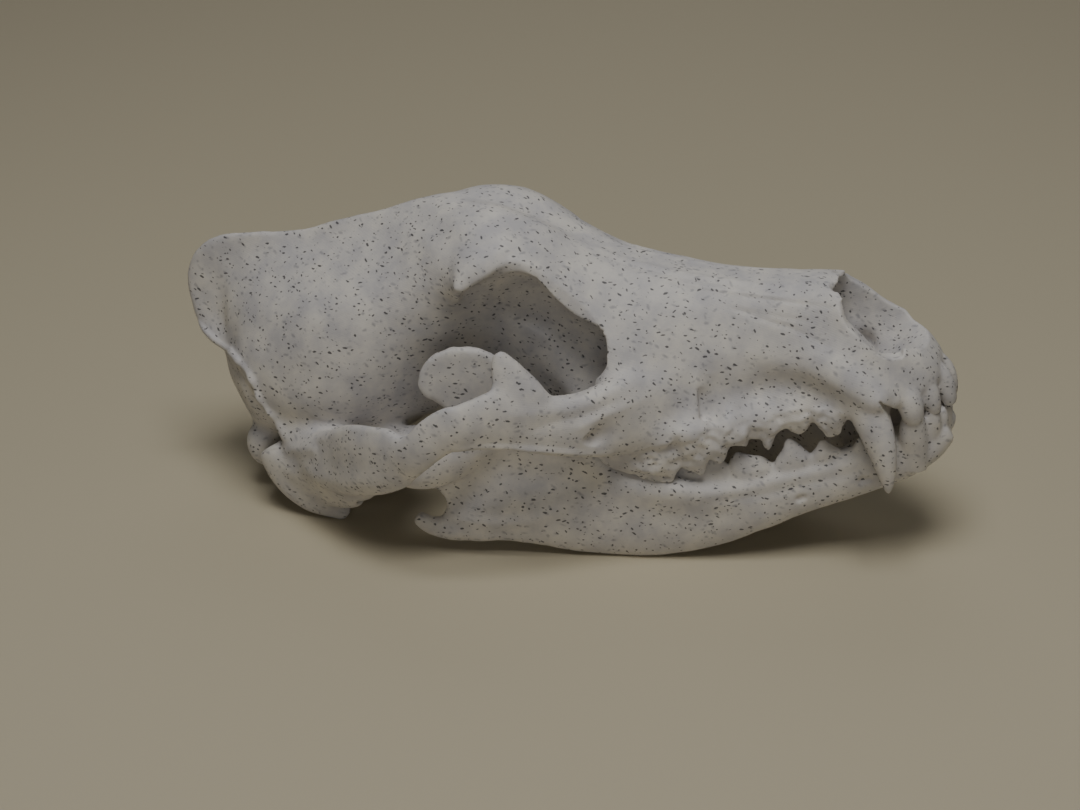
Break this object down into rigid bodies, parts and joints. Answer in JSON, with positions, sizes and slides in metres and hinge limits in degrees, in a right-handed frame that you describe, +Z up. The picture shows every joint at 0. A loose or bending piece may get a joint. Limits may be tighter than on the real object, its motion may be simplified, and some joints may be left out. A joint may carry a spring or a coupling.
{
  "type": "wolf skull replica",
  "caption": "Still, life-size wolf skull with its lower jaw closed, in white speckled plastic: crested braincase, cheek arches, long snout and blunt teeth.",
  "frame": {"origin": "on the surface that the skull rests on, under the middle of its box", "axes": "+X towards the front teeth, +Y to the animal's left, +Z up; the tooth row rises 13.5 degrees towards the nose"},
  "size_m": [0.2876, 0.1386, 0.1223],
  "materials": {
    "speckled_plastic": "white plastic with short dark grey flecks and fine layer lines, matte with a slight sheen"
  },
  "bodies": {
    "root": {"braincase": "speckled_plastic", "rostrum": "speckled_plastic", "zygomatic_arch_right": "speckled_plastic", "zygomatic_arch_left": "speckled_plastic", "mandible_right": "speckled_plastic", "mandible_left": "speckled_plastic"}
  },
  "joints": []
}
